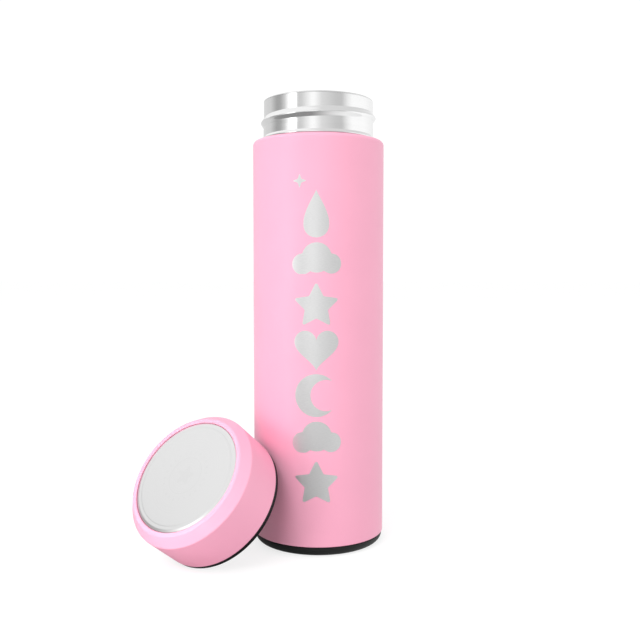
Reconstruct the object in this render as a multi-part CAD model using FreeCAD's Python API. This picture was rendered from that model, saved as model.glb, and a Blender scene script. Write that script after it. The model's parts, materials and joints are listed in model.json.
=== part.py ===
import FreeCAD, Part
import math
import os

# An insulated steel baby bottle: an open double-wall flask, with its screw lid tilted against it.
#
# Millimetres and degrees. The origin is the centre of the foot's underside, +Z runs up the flask's
# axis, and -Y is the flask's front. An outline is a list of corners (radius, height, rounding) in the
# plane through an axis, and is turned about that axis. The lid's pieces are outlined with the lid's
# open end at height 0 and its steel inlay on top, and are then moved together to where the lid lies.

Vector = FreeCAD.Vector

# ---------------------------------------------------------------- driving dimensions of the flask
BODY_RADIUS = 31.5
FLASK_HEIGHT = 212.6
SHEET = 0.4                 # wall of the drawn steel pieces
NECK_RADIUS = 26.3          # of the band above the thread
NECK_SKIRT_RADIUS = 26.5    # of the band below the thread
TAPER_DROP = 11.0           # from the lip to the top of the slight taper between those bands
TAPER_HEIGHT = 3.0
NECK_HEIGHT = 18.6          # from the shoulder's inner edge to the lip
SEAM_WIDTH = 0.3            # of the welded seam that runs round the neck's root
SEAM_HEIGHT = 0.4
SHOULDER_SLOPE = 10.0       # below level
SHOULDER_ROUND = 2.0
VACUUM_GAP = 3.5            # between the shell and the liner
NECK_GAP = 1.2              # between the neck and the liner
LIP_THICKNESS = 0.8
HEM_HEIGHT = 4.6            # underside of the shell's turned-in edge
HEM_WIDTH = 1.6
HEM_THICKNESS = 0.6         # the edge is folded double
LINER_BOTTOM_HEIGHT = 14.0
LINER_CORNER_ROUND = 8.0

# The thread is one rounded bead, rolled from the sheet, a single turn with both ends at the back.
THREAD_PITCH = 5.0
BEAD_DEPTH = 1.4
BEAD_SECTION_RADIUS = 1.67
BEAD_DROP = 9.4             # from the lip to the bead's centre, halfway round
BEAD_TURNS = 1.06
BEAD_FADE = 16.0            # angle over which each end of a bead rises out of the wall
BEAD_STEP = 10.0            # angle between the cross-sections of a bead

# ---------------------------------------------------------------- driving dimensions of the foot
FOOT_RADIUS = 31.0
FOOT_ROUND = 3.7
FOOT_GAP = 0.3              # dark gap between the foot and the hem
ADHESIVE = 0.2

# ---------------------------------------------------------------- driving dimensions of the lid
LID_RADIUS = 32.0
LID_HEIGHT = 26.6
LID_WALL = 1.6
LID_EDGE_ROUND = 0.4
BEVEL_HEIGHT = 22.2         # where the side meets the bevel
CROWN_RADIUS = 28.4         # where the bevel meets the flat top lip
RECESS_RADIUS = 26.5
RECESS_DEPTH = 1.3
DISC_THICKNESS = 1.0
DISC_GAP = 0.2              # between the steel disc and the recess it is bonded in
RING_RADIUS = 31.8
RING_HEIGHT = 2.1
RING_ROUND = 0.3
TONGUE_HEIGHT = 0.9         # of the rim ring's tongue, between liner and shell
LINER_PLAY = 0.1            # around the lid's liner
THREAD_CLEARANCE = 0.45     # between the neck's bead and the lid's liner
RIDGE_DEPTH = 1.05          # of the lid's own thread
SEAL_DEPTH = 18.8           # from the open end up to the seal ring's sealing face
SEAL_THICKNESS = 1.95
SEAL_PLAY = 0.15            # the seal ring turns freely in the lid
ROOF = 3.0                  # thickness of the lid liner's roof
PLUG_BOTTOM = 8.0
PLUG_PLAY = 0.8             # between the plug and the mouth
PLUG_WALL = 1.2

# ---------------------------------------------------------------- how the lid lies
LID_AXIS_RISE = 37.7        # of the lid's axis above level, towards the inlay
LID_AXIS_HEADING = 232.8    # of the lid's axis, about +Z from +X
LID_BEARING = 210.8         # from the flask's axis to the centre of the lid's open end
LID_GAP = 1.0               # clear space between the lid's edge and the flask

# ---------------------------------------------------------------- worked out
NECK_ROOT = FLASK_HEIGHT - NECK_HEIGHT
LINER_RADIUS = BODY_RADIUS - SHEET - VACUUM_GAP
LINER_NECK_RADIUS = NECK_RADIUS - SHEET - NECK_GAP
MOUTH_RADIUS = LINER_NECK_RADIUS - SHEET
PLATE_HEIGHT = HEM_HEIGHT + HEM_THICKNESS + ADHESIVE
SHELL_BORE = BODY_RADIUS - SHEET
LID_BORE = LID_RADIUS - LID_WALL
LID_LINER_BORE = NECK_RADIUS + BEAD_DEPTH + THREAD_CLEARANCE
LID_LINER_RADIUS = LID_BORE - LINER_PLAY
ROOF_UNDERSIDE = SEAL_DEPTH + SEAL_THICKNESS + SEAL_PLAY
ROOF_TOP = ROOF_UNDERSIDE + ROOF
RECESS_FLOOR = LID_HEIGHT - RECESS_DEPTH
PLUG_RADIUS = MOUTH_RADIUS - PLUG_PLAY
PLUG_BORE = PLUG_RADIUS - PLUG_WALL


# ---------------------------------------------------------------- shape helpers
def rounded_corner(before, corner, after, radius):
    """The arc that rounds a corner, as its start, middle and end points."""
    back = (before - corner).normalize()
    ahead = (after - corner).normalize()
    half_angle = back.getAngle(ahead) / 2
    setback = radius / math.tan(half_angle)
    to_centre = (back + ahead).normalize()
    middle = corner + to_centre * (radius / math.sin(half_angle) - radius)
    return corner + back * setback, middle, corner + ahead * setback


def outline_wire(corners):
    """A closed wire in the XZ plane through corners (radius, height, rounding)."""
    points = [Vector(corner[0], 0, corner[1]) for corner in corners]
    arcs = []
    for index, corner in enumerate(corners):
        rounding = corner[2] if len(corner) > 2 else 0
        point = points[index]
        if rounding:
            following = points[(index + 1) % len(points)]
            arcs.append(rounded_corner(points[index - 1], point, following, rounding))
        else:
            arcs.append((point, None, point))
    edges = []
    for index, (start, middle, end) in enumerate(arcs):
        if middle:
            edges.append(Part.Arc(start, middle, end).toShape())
        next_start = arcs[(index + 1) % len(arcs)][0]
        if end.distanceToPoint(next_start) > 1e-6:
            edges.append(Part.makeLine(end, next_start))
    return Part.Wire(edges)


def turned(corners):
    """The solid that an outline sweeps in a full turn about Z."""
    face = Part.Face(outline_wire(corners))
    return face.revolve(Vector(0, 0, 0), Vector(0, 0, 1), 360)


def tube(inner_radius, outer_radius, bottom, top):
    return turned([(inner_radius, bottom), (outer_radius, bottom), (outer_radius, top), (inner_radius, top)])


def disc(radius, bottom, top):
    return turned([(0, bottom), (radius, bottom), (radius, top), (0, top)])


def thread_bead(wall_radius, side, depth, section_radius, middle_height):
    """A right-hand bead on a wall that fades into it at both ends, with its middle at the front.

    side is +1 for a bead on the outside of the wall, and -1 for one on the inside.
    """
    sweep = 360.0 * BEAD_TURNS
    count = round(sweep / BEAD_STEP)
    sections = []
    for index in range(count + 1):
        from_middle = sweep * (index / count - 0.5)
        rise = min(1.0, (sweep / 2 - abs(from_middle)) / BEAD_FADE)
        shown = depth * math.sin(math.radians(90 * rise))
        angle = math.radians(270 + from_middle)
        centre_radius = wall_radius + side * (shown - section_radius)
        outward = Vector(math.cos(angle), math.sin(angle), 0)
        centre = outward * centre_radius + Vector(0, 0, middle_height + THREAD_PITCH * from_middle / 360)
        along = Vector(-math.sin(angle), math.cos(angle), 0)
        circle = Part.Circle(centre, along, section_radius)
        circle.XAxis = outward
        sections.append(Part.Wire(circle.toShape()))
    return Part.makeLoft(sections, True, False)


# ---------------------------------------------------------------- pieces of the flask
def outer_shell():
    slope = math.tan(math.radians(SHOULDER_SLOPE))
    shoulder_corner = NECK_ROOT - (BODY_RADIUS - NECK_SKIRT_RADIUS) * slope
    sheet_drop = SHEET / math.cos(math.radians(SHOULDER_SLOPE))
    inner_corner = NECK_ROOT - sheet_drop - (SHELL_BORE - NECK_SKIRT_RADIUS) * slope
    hem_radius = BODY_RADIUS - HEM_WIDTH
    return turned([
        (NECK_SKIRT_RADIUS, NECK_ROOT),
        (BODY_RADIUS, shoulder_corner, SHOULDER_ROUND),
        (BODY_RADIUS, HEM_HEIGHT, 0.5),
        (hem_radius, HEM_HEIGHT, 0.25),
        (hem_radius, HEM_HEIGHT + HEM_THICKNESS, 0.25),
        (SHELL_BORE, HEM_HEIGHT + HEM_THICKNESS, 0.2),
        (SHELL_BORE, inner_corner, SHOULDER_ROUND - SHEET),
        (NECK_SKIRT_RADIUS, NECK_ROOT - sheet_drop),
    ])


def threaded_neck():
    """The bare neck: a rolled thread, a wider band below it and the welded seam at its root."""
    bore = NECK_RADIUS - SHEET
    top = FLASK_HEIGHT - LIP_THICKNESS
    taper_top = FLASK_HEIGHT - TAPER_DROP
    bottom = NECK_ROOT - 2.0
    bead_middle = FLASK_HEIGHT - BEAD_DROP
    seam_radius = NECK_SKIRT_RADIUS + SEAM_WIDTH
    wall = turned([
        (bore, bottom),
        (NECK_SKIRT_RADIUS, bottom),
        (NECK_SKIRT_RADIUS, NECK_ROOT),
        (seam_radius, NECK_ROOT),
        (seam_radius, NECK_ROOT + SEAM_HEIGHT, 0.15),
        (NECK_SKIRT_RADIUS, NECK_ROOT + SEAM_HEIGHT + 0.15, 0.1),
        (NECK_SKIRT_RADIUS, taper_top - TAPER_HEIGHT),
        (NECK_RADIUS, taper_top),
        (NECK_RADIUS, top),
        (bore, top),
    ])
    inside = disc(bore, bottom - 1, FLASK_HEIGHT)
    bead = thread_bead(NECK_RADIUS, 1, BEAD_DEPTH, BEAD_SECTION_RADIUS, bead_middle)
    groove = thread_bead(NECK_RADIUS - SHEET, 1, BEAD_DEPTH, BEAD_SECTION_RADIUS - SHEET, bead_middle)
    return wall.fuse(bead.cut(inside)).cut(groove)


def inner_flask():
    flare_top = NECK_ROOT - 3.0
    flare_bottom = flare_top - 4.0
    bore = LINER_RADIUS - SHEET
    floor = LINER_BOTTOM_HEIGHT + SHEET
    return turned([
        (NECK_RADIUS, FLASK_HEIGHT, 0.5),
        (NECK_RADIUS, FLASK_HEIGHT - LIP_THICKNESS),
        (LINER_NECK_RADIUS, FLASK_HEIGHT - LIP_THICKNESS),
        (LINER_NECK_RADIUS, flare_top, 3.0),
        (LINER_RADIUS, flare_bottom, 3.0),
        (LINER_RADIUS, LINER_BOTTOM_HEIGHT, LINER_CORNER_ROUND + SHEET),
        (0, LINER_BOTTOM_HEIGHT),
        (0, floor),
        (bore, floor, LINER_CORNER_ROUND),
        (bore, flare_bottom, 3.0),
        (MOUTH_RADIUS, flare_top, 3.0),
        (MOUTH_RADIUS, FLASK_HEIGHT, 0.5),
    ])


def radiation_foil():
    foil_bore = LINER_RADIUS + 0.15
    return tube(foil_bore, foil_bore + 0.15, LINER_BOTTOM_HEIGHT + 12, NECK_ROOT - 13)


def outer_bottom():
    """The closing plate: a dish welded in the shell, with a dimple for the evacuation hole."""
    dimple_height = PLATE_HEIGHT + 1.8
    hole_radius = 1.0
    return turned([
        (hole_radius, dimple_height),
        (7.0, dimple_height, 0.5),
        (8.5, PLATE_HEIGHT, 0.5),
        (SHELL_BORE, PLATE_HEIGHT, 0.9),
        (SHELL_BORE, PLATE_HEIGHT + 6.6),
        (SHELL_BORE - SHEET, PLATE_HEIGHT + 6.6),
        (SHELL_BORE - SHEET, PLATE_HEIGHT + SHEET, 0.4),
        (8.9, PLATE_HEIGHT + SHEET, 0.5),
        (7.4, dimple_height + SHEET, 0.5),
        (hole_radius, dimple_height + SHEET),
    ])


def vacuum_seal():
    """The bead that closes the evacuation hole: a domed head under the dimple and a stem through it."""
    dimple_height = PLATE_HEIGHT + 1.8
    stem_radius = 0.95
    return turned([
        (0, dimple_height - 1.0),
        (3.2, dimple_height - 0.8, 0.6),
        (3.4, dimple_height),
        (stem_radius, dimple_height),
        (stem_radius, dimple_height + 1.0),
        (0, dimple_height + 1.0),
    ])


GETTER_OFFSET = 10.0        # from the axis, along +X
GETTER_RADIUS = 4.0
GETTER_THICKNESS = 2.3
STRAP = 0.3


def getter_pellet():
    top = LINER_BOTTOM_HEIGHT - STRAP
    pellet = disc(GETTER_RADIUS, top - GETTER_THICKNESS, top)
    return pellet.translated(Vector(GETTER_OFFSET, 0, 0))


def getter_clip():
    """A strap that holds the pellet up against the liner, with a welded foot at each end."""
    foot_length = 3.5
    width = 5.0
    top = LINER_BOTTOM_HEIGHT
    inner_low = top - STRAP - GETTER_THICKNESS
    outer_half = GETTER_RADIUS + STRAP
    right_half = [
        (GETTER_RADIUS, inner_low),
        (GETTER_RADIUS, top),
        (outer_half + foot_length, top),
        (outer_half + foot_length, top - STRAP),
        (outer_half, top - STRAP),
        (outer_half, inner_low - STRAP),
    ]
    left_half = [(-x, z) for x, z in reversed(right_half)]
    points = [Vector(GETTER_OFFSET + x, -width / 2, z) for x, z in right_half + left_half]
    strap = Part.Face(Part.makePolygon(points + points[:1]))
    return strap.extrude(Vector(0, width, 0))


def base_pad():
    """The foot: a thick disc with a round lower edge, a boss inside the hem and two grip grooves."""
    shoulder = HEM_HEIGHT - FOOT_GAP
    boss_radius = BODY_RADIUS - HEM_WIDTH - FOOT_GAP
    boss_top = PLATE_HEIGHT - ADHESIVE
    pad = turned([
        (0, 0),
        (FOOT_RADIUS, 0, FOOT_ROUND),
        (FOOT_RADIUS, shoulder, 0.4),
        (boss_radius, shoulder),
        (boss_radius, boss_top),
        (0, boss_top),
    ])
    for groove_radius in (16.0, 22.0):
        pad = pad.cut(tube(groove_radius, groove_radius + 1.5, -1, 0.6))
    return pad


def pad_adhesive():
    boss_radius = BODY_RADIUS - HEM_WIDTH - FOOT_GAP
    return tube(9.0, boss_radius - 0.6, PLATE_HEIGHT - ADHESIVE, PLATE_HEIGHT)


# ---------------------------------------------------------------- pieces of the lid
def lid_shell():
    inner_bevel_height = BEVEL_HEIGHT - 0.6
    underside = ROOF_TOP + LINER_PLAY
    return turned([
        (LID_BORE, RING_HEIGHT),
        (LID_RADIUS, RING_HEIGHT, LID_EDGE_ROUND),
        (LID_RADIUS, BEVEL_HEIGHT, 1.4),
        (CROWN_RADIUS, LID_HEIGHT, 1.3),
        (RECESS_RADIUS, LID_HEIGHT, 0.5),
        (RECESS_RADIUS, RECESS_FLOOR),
        (0, RECESS_FLOOR),
        (0, underside),
        (CROWN_RADIUS - 0.2, underside),
        (LID_BORE, inner_bevel_height),
    ])


def lid_disc():
    radius = RECESS_RADIUS - DISC_GAP
    bottom = RECESS_FLOOR + ADHESIVE
    top = bottom + DISC_THICKNESS
    chamfer = 0.55
    return turned([(0, bottom), (radius, bottom), (radius, top - chamfer), (radius - chamfer, top), (0, top)])


def disc_adhesive():
    return disc(RECESS_RADIUS - 2.0, RECESS_FLOOR, RECESS_FLOOR + ADHESIVE)


def lid_liner():
    """The screw cap inside the lid: a threaded wall, a rebate for the rim ring and an open roof."""
    rebate_radius = LID_LINER_RADIUS - 1.0
    rebate_top = RING_HEIGHT + TONGUE_HEIGHT + LINER_PLAY
    body = turned([
        (LID_LINER_BORE, RING_HEIGHT, 0.4),
        (rebate_radius, RING_HEIGHT),
        (rebate_radius, rebate_top),
        (LID_LINER_RADIUS, rebate_top),
        (LID_LINER_RADIUS, BEVEL_HEIGHT - 0.9),
        (CROWN_RADIUS - 0.5, ROOF_TOP),
        (PLUG_BORE, ROOF_TOP),
        (PLUG_BORE, ROOF_UNDERSIDE),
        (LID_LINER_BORE, ROOF_UNDERSIDE, 0.8),
    ])
    ridge_middle = SEAL_DEPTH - BEAD_DROP - THREAD_PITCH / 2
    ridge = thread_bead(LID_LINER_BORE, -1, RIDGE_DEPTH, RIDGE_DEPTH, ridge_middle)
    return body.fuse(ridge)


def rim_ring():
    """The soft ring that meets the flask's shoulder, with a tongue up between liner and shell."""
    tongue_inner = LID_LINER_RADIUS - 0.9
    tongue_outer = LID_LINER_RADIUS - 0.05
    foot_inner = LID_LINER_RADIUS - 1.3
    tongue_top = RING_HEIGHT + TONGUE_HEIGHT
    return turned([
        (foot_inner, 0, 0.3),
        (RING_RADIUS, 0, RING_ROUND),
        (RING_RADIUS, RING_HEIGHT),
        (tongue_outer, RING_HEIGHT),
        (tongue_outer, tongue_top),
        (tongue_inner, tongue_top),
        (tongue_inner, RING_HEIGHT),
        (foot_inner, RING_HEIGHT),
    ])


def seal_ring():
    inner_radius = PLUG_RADIUS + SEAL_PLAY
    outer_radius = NECK_RADIUS + 0.6
    top = SEAL_DEPTH + SEAL_THICKNESS
    return turned([
        (inner_radius, SEAL_DEPTH, 0.3),
        (outer_radius, SEAL_DEPTH, 0.5),
        (outer_radius, top, 0.5),
        (inner_radius, top, 0.3),
    ])


def plug_cup():
    """The plug's cup, with a bead that keeps the seal ring on."""
    bead_top = SEAL_DEPTH - SEAL_PLAY
    return turned([
        (PLUG_BORE, ROOF_UNDERSIDE),
        (PLUG_RADIUS, ROOF_UNDERSIDE),
        (PLUG_RADIUS, bead_top),
        (PLUG_RADIUS + 0.45, bead_top - 0.25, 0.15),
        (PLUG_RADIUS + 0.45, bead_top - 0.6, 0.15),
        (PLUG_RADIUS, bead_top - 1.0),
        (PLUG_RADIUS - 0.2, PLUG_BOTTOM, 2.2),
        (0, PLUG_BOTTOM),
        (0, PLUG_BOTTOM + PLUG_WALL),
        (PLUG_BORE, PLUG_BOTTOM + PLUG_WALL, 1.2),
    ])


def plug_foam():
    radius = PLUG_BORE - LINER_PLAY
    bottom = PLUG_BOTTOM + PLUG_WALL + LINER_PLAY
    top = ROOF_UNDERSIDE - LINER_PLAY
    return turned([(0, bottom), (radius, bottom, 1.3), (radius, top), (0, top)])


def plug_cover():
    return disc(PLUG_BORE - LINER_PLAY, ROOF_UNDERSIDE, ROOF_TOP)


# ---------------------------------------------------------------- where the lid lies
def direction(heading, rise=0.0):
    """The unit vector with this heading about +Z and this rise above level."""
    heading = math.radians(heading)
    rise = math.radians(rise)
    return Vector(math.cos(rise) * math.cos(heading), math.cos(rise) * math.sin(heading), math.sin(rise))


def nearest_rim_distance(open_end, axis):
    """The least distance from the flask's axis to the two circles at the lid's open edge."""
    level = direction(LID_AXIS_HEADING + 90)
    steep = axis.cross(level)
    nearest = None
    for radius, height in ((LID_RADIUS, RING_HEIGHT), (RING_RADIUS, 0.0)):
        for step in range(720):
            angle = math.pi * step / 360
            point = open_end + axis * height + (level * math.cos(angle) + steep * math.sin(angle)) * radius
            distance = math.hypot(point.x, point.y)
            nearest = distance if nearest is None else min(nearest, distance)
    return nearest


def lid_placement():
    """The lid stands on its open edge and leans that edge on the flask's side."""
    axis = direction(LID_AXIS_HEADING, LID_AXIS_RISE)
    rise = math.radians(LID_AXIS_RISE)
    edges = ((LID_RADIUS, RING_HEIGHT, LID_EDGE_ROUND), (RING_RADIUS, 0.0, RING_ROUND))
    height = 0.0
    for radius, level, rounding in edges:
        hang = (radius - rounding) * math.cos(rise) - (level + rounding) * math.sin(rise)
        height = max(height, rounding + hang)
    near = BODY_RADIUS
    far = BODY_RADIUS + 2 * LID_RADIUS
    for _ in range(40):
        reach = (near + far) / 2
        open_end = direction(LID_BEARING) * reach + Vector(0, 0, height)
        if nearest_rim_distance(open_end, axis) < BODY_RADIUS + LID_GAP:
            near = reach
        else:
            far = reach
    return FreeCAD.Placement(open_end, FreeCAD.Rotation(Vector(0, 0, 1), axis))


FLASK_PIECES = [
    outer_shell, threaded_neck, inner_flask, radiation_foil, outer_bottom, vacuum_seal,
    getter_clip, getter_pellet, base_pad, pad_adhesive,
]
LID_PIECES = [
    lid_shell, lid_disc, disc_adhesive, lid_liner, rim_ring, seal_ring, plug_cup, plug_foam, plug_cover,
]


def main():
    os.makedirs("parts", exist_ok=True)
    for piece in FLASK_PIECES:
        piece().exportStep(f"parts/{piece.__name__}.step")
    placement = lid_placement()
    for piece in LID_PIECES:
        shape = piece()
        shape.Placement = placement
        shape.exportStep(f"parts/{piece.__name__}.step")
    axis = placement.Rotation.multVec(Vector(0, 0, 1))
    print("lid open end", placement.Base, "lid axis", axis)


main()
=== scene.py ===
import json
import math

import bmesh
import bpy
from mathutils import Matrix, Vector


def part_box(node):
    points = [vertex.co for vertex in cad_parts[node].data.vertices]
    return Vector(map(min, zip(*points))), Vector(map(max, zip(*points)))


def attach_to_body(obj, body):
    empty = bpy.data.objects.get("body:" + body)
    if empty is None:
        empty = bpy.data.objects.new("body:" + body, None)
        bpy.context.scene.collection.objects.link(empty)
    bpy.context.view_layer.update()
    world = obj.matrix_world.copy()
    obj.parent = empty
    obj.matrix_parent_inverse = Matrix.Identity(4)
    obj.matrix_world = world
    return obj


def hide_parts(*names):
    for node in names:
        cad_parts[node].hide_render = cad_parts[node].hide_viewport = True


# The looks of an insulated steel baby bottle: an open flask with its screw lid tilted against it.
#
# Outlines are lists of corners (radius, height, rounding) in millimetres, turned about an axis. The
# flask's axis is Z, through the origin. The lid's outlines have its open end at height 0 and its steel
# inlay on top, and LID_FRAME moves them to where the lid lies.

MM = 0.001
SEGMENTS = 256              # around every turned piece
ARC_STEP = 9.0              # most that one facet of a rounding turns, in degrees
SUPPORT = 0.25              # distance from a corner to the ring that holds its shading, in mm

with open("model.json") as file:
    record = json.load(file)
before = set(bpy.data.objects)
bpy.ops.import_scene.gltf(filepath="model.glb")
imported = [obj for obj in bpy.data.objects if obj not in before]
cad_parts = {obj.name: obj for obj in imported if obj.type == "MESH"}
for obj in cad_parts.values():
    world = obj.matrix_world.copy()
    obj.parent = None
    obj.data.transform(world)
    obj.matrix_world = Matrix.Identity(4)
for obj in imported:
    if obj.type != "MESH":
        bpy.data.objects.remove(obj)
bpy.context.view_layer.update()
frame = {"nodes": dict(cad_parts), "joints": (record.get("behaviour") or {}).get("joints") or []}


# ---------------------------------------------------------------- sizes read from the frame
def flask_span(node):
    """A flask node's largest radius, lowest and highest height, in mm."""
    low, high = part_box(node)
    return high.x / MM, low.z / MM, high.z / MM


def lid_frame():
    """The lid's own frame: Z from the open end to the inlay, X level, Y up the tilt."""
    joint = next(j for j in frame["joints"] if j["name"] == "lid_turn")
    axis = Vector(joint["axis"]).normalized()
    level = Vector((-axis.y, axis.x, 0)).normalized()
    steep = axis.cross(level)
    turn = Matrix((level, steep, axis)).transposed().to_4x4()
    return Matrix.Translation(Vector(joint["pos_m"])) @ turn


LID_FRAME = lid_frame()


def lid_span(node):
    """A lid node's largest radius, lowest and highest height in the lid's frame, in mm."""
    to_lid = LID_FRAME.inverted()
    points = [to_lid @ vertex.co for vertex in frame["nodes"][node].data.vertices]
    radius = max(math.hypot(point.x, point.y) for point in points)
    heights = [point.z for point in points]
    return radius / MM, min(heights) / MM, max(heights) / MM


# ---------------------------------------------------------------- mesh helpers
def rounded_points(corners):
    """A closed outline's points, with each corner's rounding as short steps of an arc."""
    points = []
    count = len(corners)
    for index, corner in enumerate(corners):
        here = Vector(corner[:2])
        rounding = corner[2] if len(corner) > 2 else 0
        if not rounding:
            points.append(here)
            continue
        back = (Vector(corners[index - 1][:2]) - here).normalized()
        ahead = (Vector(corners[(index + 1) % count][:2]) - here).normalized()
        half_angle = back.angle(ahead) / 2
        setback = rounding / math.tan(half_angle)
        centre = here + (back + ahead).normalized() * rounding / math.sin(half_angle)
        start = here + back * setback - centre
        end = here + ahead * setback - centre
        turn = math.atan2(start.x * end.y - start.y * end.x, start.dot(end))
        steps = max(2, math.ceil(abs(math.degrees(turn)) / ARC_STEP))
        for step in range(steps + 1):
            points.append(centre + Matrix.Rotation(turn * step / steps, 2) @ start)
    return points


def held_points(points, fine_step):
    """Splits straight runs: every fine_step if there is one, or else once close to each end."""
    held = []
    for index, here in enumerate(points):
        run = points[(index + 1) % len(points)] - here
        held.append(here)
        if fine_step and here.x > 0:
            parts = math.ceil(run.length / fine_step)
            held += [here + run * part / parts for part in range(1, parts)]
        elif run.length > 3 * SUPPORT:
            held.append(here + run.normalized() * SUPPORT)
            held.append(here + run - run.normalized() * SUPPORT)
    return held


def finished(name, grid, sharp_angle=32.0):
    """The object of a bmesh: faces outwards, and smooth but for edges sharper than sharp_angle degrees."""
    bmesh.ops.recalc_face_normals(grid, faces=grid.faces)
    mesh = bpy.data.meshes.new(name)
    grid.to_mesh(mesh)
    grid.free()
    mesh.shade_smooth()
    mesh.set_sharp_from_angle(angle=math.radians(sharp_angle))
    piece = bpy.data.objects.new(name, mesh)
    bpy.context.scene.collection.objects.link(piece)
    return piece


def bridge(grid, ring, following):
    """Faces between two rings of one size, or between a ring and a single point on the axis."""
    count = max(len(ring), len(following))
    if count == 1:
        return
    for index in range(count):
        after = (index + 1) % count
        corners = [ring[index % len(ring)], ring[after % len(ring)]]
        corners += [following[after % len(following)], following[index % len(following)]]
        grid.faces.new(dict.fromkeys(corners))


def turned(name, corners, relief=None, fine_step=None, segments=SEGMENTS):
    """A closed mesh: an outline turned about Z. relief(angle, radius, height) may move each point."""
    grid = bmesh.new()
    rings = []
    for radius, height in held_points(rounded_points(corners), fine_step):
        if radius < 1e-6:
            rings.append([grid.verts.new((0, 0, height * MM))])
            continue
        ring = []
        for segment in range(segments):
            angle = 2 * math.pi * segment / segments
            out, up = relief(angle, radius, height) if relief else (radius, height)
            ring.append(grid.verts.new((out * MM * math.cos(angle), out * MM * math.sin(angle), up * MM)))
        rings.append(ring)
    for ring, following in zip(rings, rings[1:] + rings[:1]):
        bridge(grid, ring, following)
    return finished(name, grid)


# ---------------------------------------------------------------- sizes of the visible pieces, in mm
BODY_RADIUS, HEM_HEIGHT, NECK_ROOT = flask_span("outer_shell")
BEAD_RADIUS, NECK_FOOT, NECK_TOP = flask_span("threaded_neck")
LINER_RADIUS, LINER_BOTTOM, FLASK_HEIGHT = flask_span("inner_flask")
FOOT_RADIUS, _, FOOT_TOP = flask_span("base_pad")

LID_RADIUS, RING_HEIGHT, LID_HEIGHT = lid_span("lid_shell")
DISC_RADIUS, DISC_BOTTOM, DISC_TOP = lid_span("lid_disc")
RING_RADIUS, _, RING_TOP = lid_span("rim_ring")
LINER_CAP_RADIUS, _, ROOF_TOP = lid_span("lid_liner")
SEAL_RADIUS, SEAL_BOTTOM, SEAL_TOP = lid_span("seal_ring")
PLUG_BEAD_RADIUS, PLUG_BOTTOM, PLUG_TOP = lid_span("plug_cup")

SHEET = 0.4                 # wall of the drawn steel
BEAD_DEPTH = 1.4            # of the neck's thread bead
BEAD_HALF_WIDTH = 2.35
BEAD_DROP = 9.4             # from the lip to the bead's centre at the front
THREAD_PITCH = 5.0
THREAD_TURNS = 1.06
THREAD_FADE = 16.0          # degrees over which a bead's ends fade into the wall
NECK_RADIUS = BEAD_RADIUS - BEAD_DEPTH
NECK_SKIRT_RADIUS = NECK_RADIUS + 0.2
LINER_NECK_RADIUS = NECK_RADIUS - 1.6
SHOULDER_SLOPE = math.radians(12.5)
SHOULDER_DROP = (BODY_RADIUS - NECK_SKIRT_RADIUS) * math.tan(SHOULDER_SLOPE)
SHOULDER_ROUND = 2.0
FIT = 0.02                  # between pieces that touch, so that no two faces share a plane
SEAM_WIDTH = 0.6            # of the bright weld seam at the neck's root
SEAM_HEIGHT = 1.5           # from the root to the seam's upper edge
TAPER_DEPTH = 11.0          # from the lip to where the neck starts to widen
TAPER_HEIGHT = 3.0          # over which it widens
RECESS_RADIUS = DISC_RADIUS + 0.2
CROWN_RADIUS = RECESS_RADIUS + 1.9
BEVEL_HEIGHT = LID_HEIGHT - 4.4
LID_WALL = 1.6
LID_BORE = BEAD_RADIUS + 0.45
RIDGE_DEPTH = 1.05          # of the thread inside the lid
RIDGE_HALF_WIDTH = 1.5

# The etched column and the emblem are thin plates, proud enough to show and sunk into what they mark.
MOTIF_BOTTOM = 24.0
MOTIF_TOP = 166.0
MOTIF_SHIFT = -0.9          # the column's middle, round the body from the front
PLATE_PROUD = 0.04
PLATE_SUNK = 0.12
PLATE_STEP = 1.3            # longest facet across a plate
EDGE_POINTS = 96            # around one mark
EDGE_STEP = 0.5             # longest facet along a mark's straight edge

# The camera, in body radii from the middle of the foot, its tilt below level in degrees, and its lens in mm.
CAMERA_SIDE = 0.0248
CAMERA_BACK = 12.652
CAMERA_UP = 4.066
CAMERA_TILT = 2.97
CAMERA_LENS = 45.86
CAMERA_SENSOR = 36.0


# ---------------------------------------------------------------- pieces of the flask
def thread_relief(wall_radius, rise, half_width, middle_height):
    """A relief for turned() that raises one right-hand rolled bead on the wall of this radius.

    rise is how far the bead stands out from the wall, and is negative for one on the inside.
    """
    sweep = 360 * THREAD_TURNS
    wall_tolerance = 0.3

    def relief(angle, radius, height):
        if abs(radius - wall_radius) > wall_tolerance:
            return radius, height
        from_front = (math.degrees(angle) - 90) % 360 - 180
        raised = 0.0
        for lap in (-360, 0, 360):
            from_middle = from_front + lap
            fade = min(1.0, (sweep / 2 - abs(from_middle)) / THREAD_FADE)
            across = abs(height - middle_height - THREAD_PITCH * from_middle / 360)
            if fade <= 0 or across >= half_width:
                continue
            share = across / half_width
            wedge = 1 - share
            wave = (1 + math.cos(math.pi * share)) / 2
            end_fade = math.sin(math.radians(90 * fade))
            raised = max(raised, end_fade * (wedge + wave) / 2)
        return radius + rise * raised, height

    return relief


def flask_shell():
    """The coated shell: sloped shoulder, straight side and the edge that is folded in under it."""
    corner = NECK_ROOT - SHOULDER_DROP
    sheet_drop = SHEET / math.cos(SHOULDER_SLOPE)
    bore = BODY_RADIUS - SHEET
    neck_hole = NECK_SKIRT_RADIUS + 0.03
    hem_radius = BODY_RADIUS - 1.6
    hem_top = HEM_HEIGHT + 0.6
    return turned("flask_shell", [
        (neck_hole, NECK_ROOT - FIT, 0.12),
        (BODY_RADIUS, corner, SHOULDER_ROUND),
        (BODY_RADIUS, HEM_HEIGHT, 0.5),
        (hem_radius, HEM_HEIGHT, 0.25),
        (hem_radius, hem_top, 0.25),
        (bore, hem_top, 0.2),
        (bore, corner - sheet_drop, SHOULDER_ROUND - SHEET),
        (neck_hole, NECK_ROOT - sheet_drop),
    ])


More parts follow.
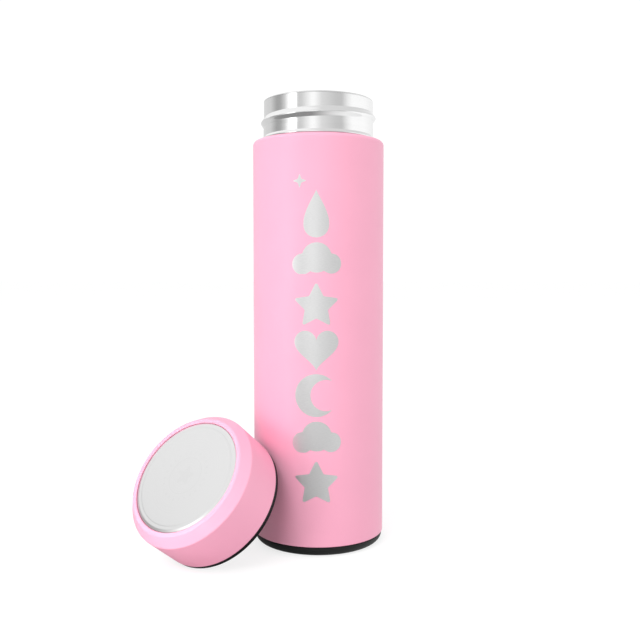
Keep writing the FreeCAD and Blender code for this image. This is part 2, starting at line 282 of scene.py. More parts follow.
def flask_neck():
    """The bare neck: the rolled thread, the wider band below it and the bright seam at its root."""
    bore = NECK_RADIUS - SHEET
    skirt_foot = NECK_SKIRT_RADIUS - FIT
    seam_radius = NECK_SKIRT_RADIUS + SEAM_WIDTH
    taper_top = FLASK_HEIGHT - TAPER_DEPTH
    corners = [
        (bore, NECK_FOOT),
        (skirt_foot, NECK_FOOT),
        (skirt_foot, NECK_ROOT - 0.1),
        (seam_radius, NECK_ROOT + 0.05, 0.1),
        (seam_radius, NECK_ROOT + 0.45, 0.2),
        (NECK_SKIRT_RADIUS, NECK_ROOT + SEAM_HEIGHT, 0.3),
        (NECK_SKIRT_RADIUS, taper_top - TAPER_HEIGHT),
        (NECK_RADIUS, taper_top),
        (NECK_RADIUS, NECK_TOP),
        (bore, NECK_TOP),
    ]
    relief = thread_relief(NECK_RADIUS, BEAD_DEPTH, BEAD_HALF_WIDTH, FLASK_HEIGHT - BEAD_DROP)
    return turned("flask_neck", corners, relief, fine_step=0.2, segments=320)


def flask_liner():
    """The steel liner, from its curled lip down to its rounded floor with a pressed ring."""
    mouth = LINER_NECK_RADIUS - SHEET
    bore = LINER_RADIUS - SHEET
    flare_top = NECK_ROOT - 3.0
    flare_bottom = flare_top - 4.0
    floor = LINER_BOTTOM + SHEET
    pressed_ring = floor + 0.6
    curl_bottom = NECK_TOP + 0.03
    return turned("flask_liner", [
        (NECK_RADIUS, FLASK_HEIGHT, 0.55),
        (NECK_RADIUS, curl_bottom, 0.1),
        (LINER_NECK_RADIUS, curl_bottom),
        (LINER_NECK_RADIUS, flare_top, 3.0),
        (LINER_RADIUS, flare_bottom, 3.0),
        (LINER_RADIUS, LINER_BOTTOM, 8.4),
        (0, LINER_BOTTOM),
        (0, floor),
        (7.0, floor, 1.0),
        (8.5, pressed_ring, 1.0),
        (17.0, pressed_ring, 1.0),
        (18.5, floor, 1.0),
        (bore, floor, 8.0),
        (bore, flare_bottom, 3.0),
        (mouth, flare_top, 3.0),
        (mouth, FLASK_HEIGHT, 0.55),
    ])


def flask_foot():
    """The rubber foot: a round lower edge, two grip grooves underneath and a boss inside the hem."""
    shoulder = HEM_HEIGHT - 0.3
    boss = BODY_RADIUS - 1.9
    groove_depth = 0.6
    groove_width = 1.5
    corners = [(0, 0)]
    for inner in (16.0, 22.0):
        outer = inner + groove_width
        corners += [
            (inner, 0, 0.2),
            (inner, groove_depth, 0.2),
            (outer, groove_depth, 0.2),
            (outer, 0, 0.2),
        ]
    corners += [
        (FOOT_RADIUS, 0, 3.7),
        (FOOT_RADIUS, shoulder, 0.4),
        (boss, shoulder),
        (boss, FOOT_TOP),
        (0, FOOT_TOP),
    ]
    return turned("flask_foot", corners)


# ---------------------------------------------------------------- pieces of the lid
def lid_cover():
    """The pink cover: straight side, bevel, rounded crown and the recess that holds the inlay."""
    bore = LID_RADIUS - LID_WALL
    floor = DISC_BOTTOM - 0.2
    underside = ROOF_TOP + 0.1
    return turned("lid_cover", [
        (bore, RING_HEIGHT, 0.2),
        (LID_RADIUS, RING_HEIGHT, 0.4),
        (LID_RADIUS, BEVEL_HEIGHT, 1.4),
        (CROWN_RADIUS, LID_HEIGHT, 1.3),
        (RECESS_RADIUS, LID_HEIGHT, 0.5),
        (RECESS_RADIUS, floor, 0.2),
        (0, floor),
        (0, underside),
        (CROWN_RADIUS - 0.2, underside),
        (bore, BEVEL_HEIGHT - 0.6),
    ])


def lid_inlay():
    """The steel inlay, with a bright bevelled edge and a shallow spun groove inside it."""
    bevel_drop = 0.42
    bevel_width = 1.1
    groove_depth = 0.05
    groove_middle = DISC_RADIUS - 2.5
    groove_half_width = 0.3
    return turned("lid_inlay", [
        (0, DISC_BOTTOM),
        (DISC_RADIUS, DISC_BOTTOM, 0.1),
        (DISC_RADIUS, DISC_TOP - bevel_drop, 0.15),
        (DISC_RADIUS - bevel_width, DISC_TOP, 0.3),
        (groove_middle + groove_half_width, DISC_TOP, 0.2),
        (groove_middle, DISC_TOP - groove_depth, 0.2),
        (groove_middle - groove_half_width, DISC_TOP, 0.2),
        (0, DISC_TOP),
    ])


def lid_cap():
    """The threaded cap inside the lid, stepped for the rim ring and open for the plug."""
    rebate_radius = LINER_CAP_RADIUS - 1.0
    rebate_top = RING_TOP + 0.1
    plug_bore = PLUG_BEAD_RADIUS - 1.65
    roof = SEAL_TOP + 0.15
    corners = [
        (LID_BORE, RING_HEIGHT, 0.4),
        (rebate_radius, RING_HEIGHT),
        (rebate_radius, rebate_top),
        (LINER_CAP_RADIUS, rebate_top),
        (LINER_CAP_RADIUS, BEVEL_HEIGHT - 0.9),
        (CROWN_RADIUS - 0.5, ROOF_TOP),
        (plug_bore, ROOF_TOP),
        (plug_bore, roof),
        (LID_BORE, roof, 0.8),
    ]
    ridge_middle = SEAL_BOTTOM - BEAD_DROP - THREAD_PITCH / 2
    relief = thread_relief(LID_BORE, -RIDGE_DEPTH, RIDGE_HALF_WIDTH, ridge_middle)
    return turned("lid_cap", corners, relief, fine_step=0.25)


def lid_rim_ring():
    """The soft black ring at the lid's open edge, and its tongue inside the cap's step."""
    tongue_inner = LINER_CAP_RADIUS - 0.9
    tongue_outer = LINER_CAP_RADIUS - 0.05
    foot_inner = LINER_CAP_RADIUS - 1.3
    foot_top = RING_HEIGHT - FIT
    return turned("lid_rim_ring", [
        (foot_inner, 0, 0.3),
        (RING_RADIUS, 0, 0.3),
        (RING_RADIUS, foot_top, 0.1),
        (tongue_outer, foot_top),
        (tongue_outer, RING_TOP),
        (tongue_inner, RING_TOP),
        (tongue_inner, foot_top),
        (foot_inner, foot_top),
    ])


def lid_seal():
    """The silicone seal ring, with a shallow groove moulded in its sealing face."""
    inner = PLUG_BEAD_RADIUS - 0.3
    middle = (inner + SEAL_RADIUS) / 2
    groove_top = SEAL_BOTTOM + 0.35
    return turned("lid_seal", [
        (inner, SEAL_BOTTOM, 0.3),
        (middle - 0.5, SEAL_BOTTOM, 0.15),
        (middle - 0.25, groove_top, 0.1),
        (middle + 0.25, groove_top, 0.1),
        (middle + 0.5, SEAL_BOTTOM, 0.15),
        (SEAL_RADIUS, SEAL_BOTTOM, 0.5),
        (SEAL_RADIUS, SEAL_TOP, 0.5),
        (inner, SEAL_TOP, 0.3),
    ])


def lid_plug():
    """The plug: a retaining bead under the seal, and a face with moulded steps and a gate mark."""
    radius = PLUG_BEAD_RADIUS - 0.45
    bore = radius - 1.2
    bead_top = SEAL_BOTTOM - 0.15
    face = PLUG_BOTTOM
    step = face + 0.5
    inside = face + 1.2
    return turned("lid_plug", [
        (bore, PLUG_TOP),
        (radius, PLUG_TOP),
        (radius, bead_top),
        (PLUG_BEAD_RADIUS, bead_top - 0.25, 0.15),
        (PLUG_BEAD_RADIUS, bead_top - 0.6, 0.15),
        (radius, bead_top - 1.0),
        (radius - 0.2, face, 2.2),
        (18.4, face, 0.3),
        (18.0, step, 0.3),
        (16.6, step, 0.3),
        (16.2, face, 0.3),
        (1.6, face + 0.2, 0.2),
        (1.3, face, 0.15),
        (0, face),
        (0, inside),
        (bore, inside, 1.2),
    ])


# ---------------------------------------------------------------- flat shapes for the etched marks
def curve(count, point_at):
    """A closed outline of count points, where point_at(angle) gives each one."""
    return [Vector(point_at(2 * math.pi * index / count)) for index in range(count)]


def divided(points, step):
    """A closed outline with points added on runs longer than step."""
    fine = []
    for index, here in enumerate(points):
        run = points[(index + 1) % len(points)] - here
        parts = max(1, math.ceil(run.length / step))
        fine += [here + run * part / parts for part in range(parts)]
    return fine


def star_shape(size, tips=5, waist=0.5, rounding=0.07):
    """A star with rounded tips, as its outline's points."""
    corners = []
    for index in range(2 * tips):
        reach = size if index % 2 == 0 else size * waist
        angle = math.pi / 2 + math.pi * index / tips
        corners.append((reach * math.cos(angle), reach * math.sin(angle), size * rounding))
    return divided(rounded_points(corners), EDGE_STEP)


def heart_shape(size):
    """A heart, from a curve of sines and cosines, as its outline's points."""
    def point_at(angle):
        across = 16 * math.sin(angle) ** 3
        up = 13 * math.cos(angle) - 5 * math.cos(2 * angle) - 2 * math.cos(3 * angle) - math.cos(4 * angle)
        return size * across / 16, size * (up + 2.5) / 16
    return curve(EDGE_POINTS, point_at)


def drop_shape(size):
    """A drop, pointed on top and round below, as its outline's points."""
    def point_at(angle):
        across = math.sin(angle) * math.sin(angle / 2) ** 1.4
        return size * 0.86 * across, size * 1.12 * math.cos(angle) + size * 0.1
    return curve(EDGE_POINTS, point_at)


def cloud_shape(size):
    """The outline of three round puffs on a flat base, seen from a point inside all of them."""
    puffs = [(-0.56, -0.12, 0.42), (0.02, 0.14, 0.60), (0.60, -0.10, 0.40)]
    base = -0.52

    def point_at(angle):
        ray = Vector((math.cos(angle), math.sin(angle)))
        reach = 0.0
        for across, up, radius in puffs:
            along = across * ray.x + up * ray.y
            inside = along ** 2 - across ** 2 - up ** 2 + radius ** 2
            if inside > 0:
                reach = max(reach, along + math.sqrt(inside))
        if ray.y < 0:
            reach = min(reach, base / ray.y)
        return ray * reach * size
    return curve(EDGE_POINTS, point_at)


def filled(outline):
    """A shape as the strip between its middle and its outline, closed round."""
    return [Vector((0, 0))] * len(outline), outline, True


def crescent(size):
    """A crescent moon as the strip between its inner and outer arcs."""
    half_sweep = math.radians(138)
    inner_centre = 0.46 * size
    outer = []
    for index in range(EDGE_POINTS + 1):
        angle = math.pi + half_sweep * (2 * index / EDGE_POINTS - 1)
        outer.append(Vector((math.cos(angle), math.sin(angle))) * size)
    tip = outer[0]
    inner_radius = math.hypot(tip.x - inner_centre, tip.y)
    start = math.atan2(tip.y, tip.x - inner_centre)
    inner = []
    for index in range(EDGE_POINTS + 1):
        angle = start + 2 * (math.pi - start) * index / EDGE_POINTS
        across = inner_centre + inner_radius * math.cos(angle)
        inner.append(Vector((across, inner_radius * math.sin(angle))))
    return inner, outer, False


def ring_band(radius, width):
    """A thin flat ring as the strip between two circles."""
    def circle(size):
        return curve(EDGE_POINTS * 2, lambda angle: (size * math.cos(angle), size * math.sin(angle)))
    return circle(radius - width / 2), circle(radius + width / 2), True


def add_plate(grid, strip, shift, place):
    """Adds a thin closed plate: the strip moved by shift, with place(x, y, height) for each point."""
    near, far, closed = strip
    widest = max((a - b).length for a, b in zip(near, far))
    rows = max(1, math.ceil(widest / PLATE_STEP))
    layers = []
    for height in (-PLATE_SUNK, PLATE_PROUD):
        layer = []
        for row in range(rows + 1):
            points = [a.lerp(b, row / rows) + shift for a, b in zip(near, far)]
            layer.append([grid.verts.new(place(point.x, point.y, height)) for point in points])
        layers.append(layer)
    count = len(near)
    last = count if closed else count - 1
    for layer in layers:
        for lower, upper in zip(layer, layer[1:]):
            for index in range(last):
                after = (index + 1) % count
                grid.faces.new((lower[index], lower[after], upper[after], upper[index]))
    bottom, top = layers
    for row in (0, rows):
        for index in range(last):
            after = (index + 1) % count
            grid.faces.new((bottom[row][index], bottom[row][after], top[row][after], top[row][index]))


def plates(name, marks, place):
    """One piece from many marks, each a strip and where its middle goes."""
    grid = bmesh.new()
    for strip, shift in marks:
        add_plate(grid, strip, Vector(shift), place)
    bmesh.ops.remove_doubles(grid, verts=grid.verts, dist=1e-7)
    bmesh.ops.dissolve_degenerate(grid, edges=grid.edges, dist=1e-8)
    return finished(name, grid)


def flask_motif():
    """The laser-etched column of plain nursery shapes up the front of the flask."""
    def on_body(across, up, height):
        angle = -math.pi / 2 + (across + MOTIF_SHIFT) / BODY_RADIUS
        radius = (BODY_RADIUS + height) * MM
        return radius * math.cos(angle), radius * math.sin(angle), up * MM

    column = [
        filled(star_shape(11.2)),
        filled(cloud_shape(11.4)),
        crescent(9.8),
        filled(heart_shape(10.2)),
        filled(star_shape(11.2)),
        filled(cloud_shape(11.4)),
        filled(drop_shape(9.6)),
    ]
    pitch = (MOTIF_TOP - MOTIF_BOTTOM) / len(column)
    marks = []
    for index, strip in enumerate(column):
        marks.append((strip, (0, MOTIF_BOTTOM + pitch * (index + 0.5))))
    marks.append((filled(star_shape(3.4, tips=4, waist=0.38)), (-7.6, MOTIF_TOP + 5.5)))
    return plates("flask_motif", marks, on_body)


def lid_emblem():
    """The faint engraving in the inlay: a small star, a ring round it and a circle of sparks."""
    plate_thinning = 0.4
    spark_count = 24
    spark_circle = 11.4

    def on_inlay(across, up, height):
        return across * MM, up * MM, (DISC_TOP + height * plate_thinning) * MM

    marks = [(filled(star_shape(5.2)), (0, 0)), (ring_band(8.6, 0.5), (0, 0))]
    for index in range(spark_count):
        angle = 2 * math.pi * index / spark_count
        place = (spark_circle * math.cos(angle), spark_circle * math.sin(angle))
        marks.append((filled(star_shape(0.9, tips=4, waist=0.5)), place))
    return plates("lid_emblem", marks, on_inlay)


# ---------------------------------------------------------------- material helpers
def node(material, kind, settings=None, **values):
    """A new node. values set or link its inputs by name, with an underscore for a space."""
    made = material.node_tree.nodes.new(kind)
    for name, value in (settings or {}).items():
        setattr(made, name, value)
    for name, value in values.items():
        socket = made.inputs[name.replace("_", " ")]
        if isinstance(value, bpy.types.NodeSocket):
            material.node_tree.links.new(value, socket)
        else:
            socket.default_value = value
    return made


def new_material(name, **shader_values):
    """A material whose Principled shader has these values."""
    material = bpy.data.materials.new(name)
    material.use_nodes = True
    shader = material.node_tree.nodes["Principled BSDF"]
    for socket, value in shader_values.items():
        shader.inputs[socket.replace("_", " ")].default_value = value
    return material


def feed(material, socket, output):
    """Links an output to an input of the material's Principled shader."""
    shader = material.node_tree.nodes["Principled BSDF"]
    material.node_tree.links.new(output, shader.inputs[socket])


def places(material, stretch=(1, 1, 1)):
    """The point on the object, in metres, stretched along the object's own axes."""
    coordinates = node(material, "ShaderNodeTexCoord")
    mapping = node(material, "ShaderNodeMapping", Vector=coordinates.outputs["Object"], Scale=stretch)
    return mapping.outputs["Vector"]


def noise(material, scale, detail=2.0, stretch=(1, 1, 1)):
    """A noise with scale as its features in a metre, before the stretch."""
    vector = places(material, stretch)
    texture = node(material, "ShaderNodeTexNoise", Vector=vector, Scale=scale, Detail=detail)
    return texture.outputs["Fac"]


def spun_rings(material, per_metre):
    """A noise that changes only with the distance from the object's Z axis."""
    flat = places(material, (1, 1, 0))
    radius = node(material, "ShaderNodeVectorMath", {"operation": "LENGTH"}, Vector=flat).outputs["Value"]
    along = node(material, "ShaderNodeCombineXYZ", X=radius).outputs["Vector"]
    texture = node(material, "ShaderNodeTexNoise", Vector=along, Scale=per_metre, Detail=4.0)
    return texture.outputs["Fac"]


def between(material, factor, low, high):
    """A colour or grey that goes from low to high as factor goes from 0.3 to 0.7."""
    ramp = node(material, "ShaderNodeValToRGB", Fac=factor)
    for element, position, colour in zip(ramp.color_ramp.elements, (0.3, 0.7), (low, high)):
        element.position = position
        element.color = (*colour, 1)
    return ramp.outputs["Color"]


def levels(material, value, low, high):
    """A number that goes from low to high as value goes from 0 to 1."""
    span = node(material, "ShaderNodeMapRange", Value=value, To_Min=low, To_Max=high)
    return span.outputs["Result"]


def bumped(material, height, depth, strength=1.0, under=None):
    """A bump of this depth in metres, on top of another bump if there is one."""
    bump = node(material, "ShaderNodeBump", Height=height, Distance=depth, Strength=strength)
    if under:
        material.node_tree.links.new(under, bump.inputs["Normal"])
    return bump.outputs["Normal"]


def shade(colour, share):
    """A colour with this share of its brightness."""
    return tuple(channel * share for channel in colour)


# ---------------------------------------------------------------- materials
def satin_coat(name, colour, peel_depth):
    """A satin sprayed coat: soft mottling, a fine speckle and a slight orange peel."""
    material = new_material(name, Metallic=0.0, IOR=1.5)
    mottle = noise(material, 45, 3)
    feed(material, "Base Color", between(material, mottle, shade(colour, 0.975), colour))
    feed(material, "Roughness", levels(material, noise(material, 260, 3), 0.34, 0.46))
    speckle = bumped(material, noise(material, 5200, 1), peel_depth * 0.25)
    feed(material, "Normal", bumped(material, noise(material, 620, 2), peel_depth, under=speckle))
    return material


def turned_steel(name, bright, rough_low, rough_high, line_depth):
    """Steel polished on a lathe: fine lines around the object's Z axis."""
    material = new_material(name, Metallic=1.0)
    lines = noise(material, 1.0, 4, (30, 30, 5200))
    smudge = noise(material, 55, 3)
    feed(material, "Base Color", between(material, lines, shade(bright, 0.965), bright))
    feed(material, "Roughness", levels(material, smudge, rough_low, rough_high))
    feed(material, "Normal", bumped(material, lines, line_depth))
    return material


def spun_steel(name, bright, rough_low, rough_high):
    """A spun steel face: fine rings about the object's Z axis."""
    material = new_material(name, Metallic=1.0)
    rings = spun_rings(material, 3800)
    broad = spun_rings(material, 240)
    feed(material, "Base Color", between(material, rings, shade(bright, 0.94), bright))
    feed(material, "Roughness", levels(material, broad, rough_low, rough_high))
    feed(material, "Normal", bumped(material, rings, 0.000006))
    return material


def etched_steel(name):
    """Steel bared by a laser: matte, with the hatch that the beam leaves."""
    material = new_material(name, Metallic=0.9)
    hatch = noise(material, 1.0, 2, (700, 700, 9000))
    feed(material, "Base Color", between(material, hatch, (0.74, 0.74, 0.74), (0.82, 0.82, 0.82)))
    feed(material, "Roughness", levels(material, noise(material, 300, 2), 0.30, 0.40))
    feed(material, "Normal", bumped(material, hatch, 0.000008))
    return material


def mill_steel(name):
    """Rolled sheet as it comes from the mill: grain one way and a dull bloom."""
    material = new_material(name, Metallic=1.0)
    grain = noise(material, 1.0, 5, (2600, 90, 90))
    bloom = noise(material, 70, 4)
    feed(material, "Base Color", between(material, bloom, (0.50, 0.50, 0.51), (0.63, 0.63, 0.64)))
    feed(material, "Roughness", levels(material, grain, 0.28, 0.46))
    feed(material, "Normal", bumped(material, grain, 0.00001))
    return material


def crinkled_foil(name):
    """Bright foil with creases that run up the wall."""
    material = new_material(name, Metallic=1.0)
    creases = node(material, "ShaderNodeTexVoronoi", {"feature": "DISTANCE_TO_EDGE"},
                   Vector=places(material, (1, 1, 0.5)), Scale=160.0)
    tarnish = noise(material, 90, 3)
    feed(material, "Base Color", between(material, tarnish, (0.78, 0.78, 0.79), (0.9, 0.9, 0.91)))
    feed(material, "Roughness", levels(material, noise(material, 400, 2), 0.12, 0.3))
    feed(material, "Normal", bumped(material, creases.outputs["Distance"], 0.0006))
    return material


def moulded(name, colour, rough_low, rough_high, grain_per_metre, grain_depth, **shader_values):
    """A moulded plastic or rubber: the mould's fine texture, and slight wear in the gloss."""
    material = new_material(name, **shader_values)
    feed(material, "Base Color", between(material, noise(material, 120, 3), shade(colour, 0.86), colour))
    feed(material, "Roughness", levels(material, noise(material, 210, 3), rough_low, rough_high))
    feed(material, "Normal", bumped(material, noise(material, grain_per_metre, 3), grain_depth))
    return material


def cell_foam(name):
    """White insulating foam: closed cells, paler at their middles."""
    material = new_material(name, Roughness=0.85)
    cells = node(material, "ShaderNodeTexVoronoi", Vector=places(material), Scale=620.0).outputs["Distance"]
    feed(material, "Base Color", between(material, cells, (0.9, 0.9, 0.87), (0.72, 0.72, 0.68)))
    feed(material, "Normal", bumped(material, cells, 0.0004))
    return material


def pitted_metal(name):
    """The getter's pressed powder: dark, dull and pitted."""
    material = new_material(name, Metallic=0.7)
    pits = noise(material, 2400, 6)
    feed(material, "Base Color", between(material, pits, (0.10, 0.10, 0.105), (0.24, 0.24, 0.25)))
    feed(material, "Roughness", levels(material, pits, 0.5, 0.8))
    feed(material, "Normal", bumped(material, pits, 0.0001))
    return material


def fused_bead(name):
    """The dark glassy bead that closes the vacuum."""
    material = new_material(name, Metallic=0.0, IOR=1.52)
    swirl = noise(material, 500, 4)
    feed(material, "Base Color", between(material, swirl, (0.05, 0.07, 0.06), (0.12, 0.16, 0.14)))
    feed(material, "Roughness", levels(material, swirl, 0.06, 0.18))
    return material


# ---------------------------------------------------------------- the object
def all_paints():
    """Every material of the object, by the name it has here."""
    pink = (0.905, 0.405, 0.548)
    foot_black = (0.010, 0.011, 0.0105)
    ring_black = (0.005, 0.0045, 0.005)
    return {
        "coat": satin_coat("pink_coat", pink, 0.00003),
        "cover_coat": satin_coat("lid_pink", pink, 0.00002),
        "neck_steel": turned_steel("neck_steel", (0.86, 0.86, 0.86), 0.07, 0.13, 0.000002),
        "liner_steel": turned_steel("liner_steel", (0.78, 0.78, 0.78), 0.16, 0.28, 0.000006),
        "disc_steel": spun_steel("disc_steel", (0.80, 0.80, 0.80), 0.24, 0.34),
        "emblem_steel": spun_steel("emblem_steel", (0.785, 0.785, 0.785), 0.27, 0.36),
        "etched_steel": etched_steel("etched_steel"),
        "plate_steel": mill_steel("plate_steel"),
        "foil": crinkled_foil("foil"),
        "seal_glass": fused_bead("seal_glass"),
        "getter": pitted_metal("getter"),
        "foam": cell_foam("foam"),
        "foot_rubber": moulded("foot_rubber", foot_black, 0.46, 0.62, 2800, 0.00004,
                               Specular_IOR_Level=0.3),
        "ring_rubber": moulded("ring_rubber", ring_black, 0.4, 0.55, 3200, 0.00003,
                               Specular_IOR_Level=0.2),
        "cap_plastic": moulded("liner_plastic", (0.022, 0.022, 0.024), 0.28, 0.4, 1800, 0.00003),
        "plug_plastic": moulded("plug_plastic", (0.84, 0.84, 0.82), 0.3, 0.42, 1500, 0.00002,
                                Subsurface_Weight=0.1, Subsurface_Scale=0.002),
        "silicone": moulded("silicone", (0.80, 0.80, 0.78), 0.35, 0.5, 2200, 0.00002,
                            Subsurface_Weight=0.3, Subsurface_Scale=0.003),
        "adhesive": moulded("adhesive", (0.80, 0.77, 0.66), 0.25, 0.5, 900, 0.00005),
    }


def attach(body, group):
    """Each piece gets its material and its body, and the CAD node that it stands in for is hidden."""
    for piece, cad_node, slot, material in group:
        piece.data.materials.append(material)
        if cad_node:
            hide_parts(cad_node)
        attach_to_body(piece, body)


def paint_hidden(paints):
    """The CAD nodes that stay as they are get a material each."""
    hidden = {
        "outer_bottom": "plate_steel",
        "getter_clip": "plate_steel",
        "radiation_foil": "foil",
        "vacuum_seal": "seal_glass",
        "getter_pellet": "getter",
        "pad_adhesive": "adhesive",
        "disc_adhesive": "adhesive",
        "plug_foam": "foam",
        "plug_cover": "plug_plastic",
    }
    for cad_node, paint in hidden.items():
        mesh = frame["nodes"][cad_node].data
        mesh.materials.clear()
        mesh.materials.append(paints[paint])


def build_object():
    """Makes every piece, and returns a collection of the ones that lie where the lid does."""
    paints = all_paints()
    flask = [
        (flask_shell(), "outer_shell", "pink_coat", paints["coat"]),
        (flask_neck(), "threaded_neck", "neck_steel", paints["neck_steel"]),
        (flask_liner(), "inner_flask", "liner_steel", paints["liner_steel"]),
        (flask_foot(), "base_pad", "foot_rubber", paints["foot_rubber"]),
        (flask_motif(), None, "neck_steel", paints["etched_steel"]),
    ]
    lid = [
        (lid_cover(), "lid_shell", "lid_pink", paints["cover_coat"]),
        (lid_inlay(), "lid_disc", "disc_steel", paints["disc_steel"]),
        (lid_emblem(), None, "disc_steel", paints["emblem_steel"]),
        (lid_cap(), "lid_liner", "liner_plastic", paints["cap_plastic"]),
        (lid_rim_ring(), "rim_ring", "ring_rubber", paints["ring_rubber"]),
        (lid_plug(), "plug_cup", "plug_plastic", paints["plug_plastic"]),
    ]
    seal = [(lid_seal(), "seal_ring", "silicone", paints["silicone"])]
    lid_pieces = bpy.data.collections.new("lid_pieces")
    for piece, *_ in lid + seal:
        piece.matrix_world = LID_FRAME
        lid_pieces.objects.link(piece)
    attach("flask", flask)
    attach("lid", lid)
    attach("seal", seal)
    paint_hidden(paints)
    return lid_pieces


# ---------------------------------------------------------------- the studio
FLOOR_REACH = 30.0          # in metres, as are all of the studio's sizes
BOUNCE_DEPTH = 0.0002       # below the floor, so that the sheets don't share a plane
REFLECTION_DEPTH = 0.0001
STUDIO_LIGHT = 0.80         # what lights the object from all round
BACKDROP_LIGHT = 1.06       # what the camera sees past the object
MIDDLE = Vector((0, 0, 0.10))   # where the lights point

# How bright the studio looks in reflections, as pairs of an azimuth and a brightness. The azimuth is in
# degrees from the front, towards +X. Round the sides stand soft panels with grey gaps between them. The
# ceiling is darker on the right, and the table is darker on the left.
AROUND = [
    (-90, 0.43), (-84, 0.46), (-73, 0.73), (-62, 1.30),
    (-59, 2.10), (-48, 2.10), (-45, 1.05), (-42, 0.68),
    (-34, 0.73), (-14, 1.14), (-8, 1.14), (7, 0.82),
    (36, 0.65), (49, 0.63), (63, 0.98), (74, 1.14),
    (110, 1.13), (160, 0.95), (205, 0.77), (243, 0.72),
    (264, 0.43), (270, 0.43),
]
ABOVE = [(-90, 1.06), (-45, 1.06), (15, 0.80), (110, 0.78), (180, 0.95), (230, 1.06), (270, 1.06)]
BELOW = [(-90, 0.30), (-15, 0.30), (35, 0.80), (70, 1.00), (140, 0.90), (200, 0.60), (270, 0.30)]


def stage_piece(name, points, faces):
    """A piece of the studio, which isn't part of the object."""
    mesh = bpy.data.meshes.new(name)
    mesh.from_pydata(points, [], faces)
    piece = bpy.data.objects.new(name, mesh)
    bpy.context.scene.collection.objects.link(piece)
    return piece


def flat_sheet(name, height):
    """A large level square of the studio."""
    ends = ((-1, -1), (1, -1), (1, 1), (-1, 1))
    corners = [(across * FLOOR_REACH, along * FLOOR_REACH, height) for across, along in ends]
    return stage_piece(name, corners, [(0, 1, 2, 3)])


def build_floor():
    """A white floor that takes a faint shadow, over a sheet that throws a little light back up."""
    floor = flat_sheet("floor", 0.0)
    paint = new_material("floor_paint", Roughness=1.0, Specular_IOR_Level=0.0, Emission_Strength=0.76)
    grain = noise(paint, 3, 2)
    feed(paint, "Base Color", between(paint, grain, (0.30, 0.30, 0.30), (0.31, 0.31, 0.31)))
    feed(paint, "Emission Color", between(paint, grain, (0.99, 0.99, 0.99), (1.0, 1.0, 1.0)))
    floor.data.materials.append(paint)
    floor.visible_diffuse = False
    floor.visible_glossy = False

    bounce = flat_sheet("floor_bounce", -BOUNCE_DEPTH)
    paper = new_material("bounce_paper", Roughness=1.0, Specular_IOR_Level=0.0)
    feed(paper, "Base Color", between(paper, noise(paper, 3, 2), (0.81, 0.81, 0.81), (0.83, 0.83, 0.83)))
    bounce.data.materials.append(paper)
    bounce.visible_camera = False
    bounce.visible_glossy = False


def reflection_paint(name, panels):
    """A glow whose brightness changes round Z as the panels say.

    The gradient starts a quarter turn before the front, so an azimuth of -90 is the ramp's start.
    """
    paint = bpy.data.materials.new(name)
    paint.use_nodes = True
    paint.node_tree.nodes.clear()
    coordinates = node(paint, "ShaderNodeTexCoord")
    around = node(paint, "ShaderNodeTexGradient", {"gradient_type": "RADIAL"},
                  Vector=coordinates.outputs["Object"])
    ramp = node(paint, "ShaderNodeValToRGB", Fac=around.outputs["Fac"])
    elements = ramp.color_ramp.elements
    elements.remove(elements[1])
    for index, (azimuth, brightness) in enumerate(panels):
        position = 0.25 + azimuth / 360
        element = elements[0] if index == 0 else elements.new(position)
        element.position = position
        element.color = (brightness, brightness, brightness, 1)
    glow = node(paint, "ShaderNodeEmission", Color=ramp.outputs["Color"], Strength=1.0)
    output = node(paint, "ShaderNodeOutputMaterial", Surface=glow.outputs["Emission"])
    output.is_active_output = True
    return paint


def only_reflected(name, points, faces, panels):
    """A glowing piece of the studio that shows in glossy surfaces and nowhere else."""
    piece = stage_piece(name, points, faces)
    piece.location.z = -REFLECTION_DEPTH
    piece.data.materials.append(reflection_paint(name + "_paint", panels))
    piece.visible_camera = False
    piece.visible_diffuse = False
    piece.visible_shadow = False


def build_reflections():
    """What only reflections see: panels all round, with grey gaps, a ceiling and a darker table."""
    table_radius = 0.35
    wall_radius = 1.6
    wall_height = 0.8
    sides = 180

    def rim(radius, height):
        turns = [2 * math.pi * index / sides for index in range(sides)]
        return [(radius * math.cos(turn), radius * math.sin(turn), height) for turn in turns]

    table = rim(table_radius, 0)
    skirting = rim(wall_radius, 0)
    top = rim(wall_radius, wall_height)
    bands = []
    for lower in (0, sides):
        upper = lower + sides
        for index in range(sides):
            after = (index + 1) % sides
            bands.append((lower + index, lower + after, upper + after, upper + index))
    only_reflected("reflection_wall", table + skirting + top, bands, AROUND)
    only_reflected("reflection_table", table, [tuple(range(sides))], BELOW)
    only_reflected("reflection_ceiling", top, [tuple(range(sides))], ABOVE)


def softbox(name, azimuth, elevation, distance, size, energy, target=MIDDLE):
    """A soft panel that faces the target, azimuth degrees round from the front towards +X."""
    light = bpy.data.lights.new(name, "AREA")
    light.shape = "RECTANGLE"
    light.size, light.size_y = size
    light.energy = energy
    panel = bpy.data.objects.new(name, light)
    bpy.context.scene.collection.objects.link(panel)
    heading = math.radians(azimuth - 90)
    rise = math.radians(elevation)
    level = math.cos(rise)
    outward = Vector((math.cos(heading) * level, math.sin(heading) * level, math.sin(rise)))
    panel.location = target + outward * distance
    panel.rotation_euler = (-outward).to_track_quat("-Z", "Y").to_euler()
    panel.visible_glossy = False
    panel.visible_camera = False
    return panel


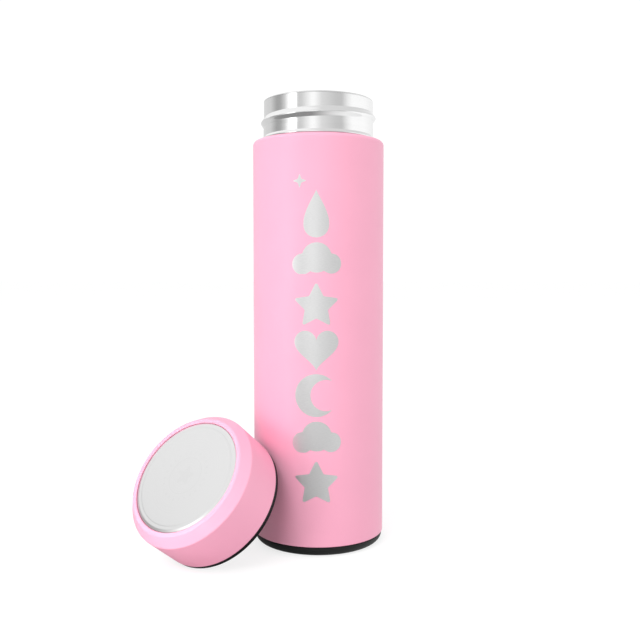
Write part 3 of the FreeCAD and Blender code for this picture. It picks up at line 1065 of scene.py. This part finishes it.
def build_world():
    """A soft grey studio that lights the object, and white where the camera looks past it."""
    world = bpy.data.worlds.new("studio")
    bpy.context.scene.world = world
    world.use_nodes = True
    world.node_tree.nodes.clear()
    studio = node(world, "ShaderNodeBackground", Color=(1, 1, 1, 1), Strength=STUDIO_LIGHT)
    backdrop = node(world, "ShaderNodeBackground", Color=(1, 1, 1, 1), Strength=BACKDROP_LIGHT)
    rays = node(world, "ShaderNodeLightPath")
    mixed = node(world, "ShaderNodeMixShader")
    links = world.node_tree.links
    links.new(rays.outputs["Is Camera Ray"], mixed.inputs[0])
    links.new(studio.outputs[0], mixed.inputs[1])
    links.new(backdrop.outputs[0], mixed.inputs[2])
    node(world, "ShaderNodeOutputWorld", Surface=mixed.outputs[0])


def build_lights(lid_pieces):
    """A key, two sources that shape the flask's left side, a fill, and a low glow for the lid alone."""
    softbox("key_left", azimuth=-27, elevation=42, distance=2.6, size=(1.6, 1.2), energy=28.0)
    softbox("side_left", azimuth=-62, elevation=36, distance=2.6, size=(0.8, 0.8), energy=9.0)
    softbox("strip_left", azimuth=-50, elevation=-1, distance=0.45, size=(0.08, 0.2), energy=0.52)
    softbox("fill_right", azimuth=72, elevation=8, distance=1.3, size=(0.6, 0.8), energy=4.2)

    low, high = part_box("lid_shell")
    lid_middle = (low + high) / 2
    glow = softbox("lid_glow", azimuth=-20, elevation=-10, distance=0.13, size=(0.12, 0.02), energy=0.045,
                   target=lid_middle)
    glow.light_linking.receiver_collection = lid_pieces


def build_camera():
    """The main view: from the front, above the flask's middle, and looking slightly down."""
    lens = bpy.data.cameras.new("camera")
    lens.sensor_width = CAMERA_SENSOR
    lens.lens = CAMERA_LENS
    camera = bpy.data.objects.new("camera", lens)
    bpy.context.scene.collection.objects.link(camera)
    camera.location = Vector((CAMERA_SIDE, -CAMERA_BACK, CAMERA_UP)) * BODY_RADIUS * MM
    camera.rotation_euler = (math.radians(90 - CAMERA_TILT), 0, 0)
    bpy.context.scene.camera = camera


lid_pieces = build_object()
build_floor()
build_reflections()
build_world()
build_lights(lid_pieces)
build_camera()
bpy.context.scene.view_settings.view_transform = "Standard"
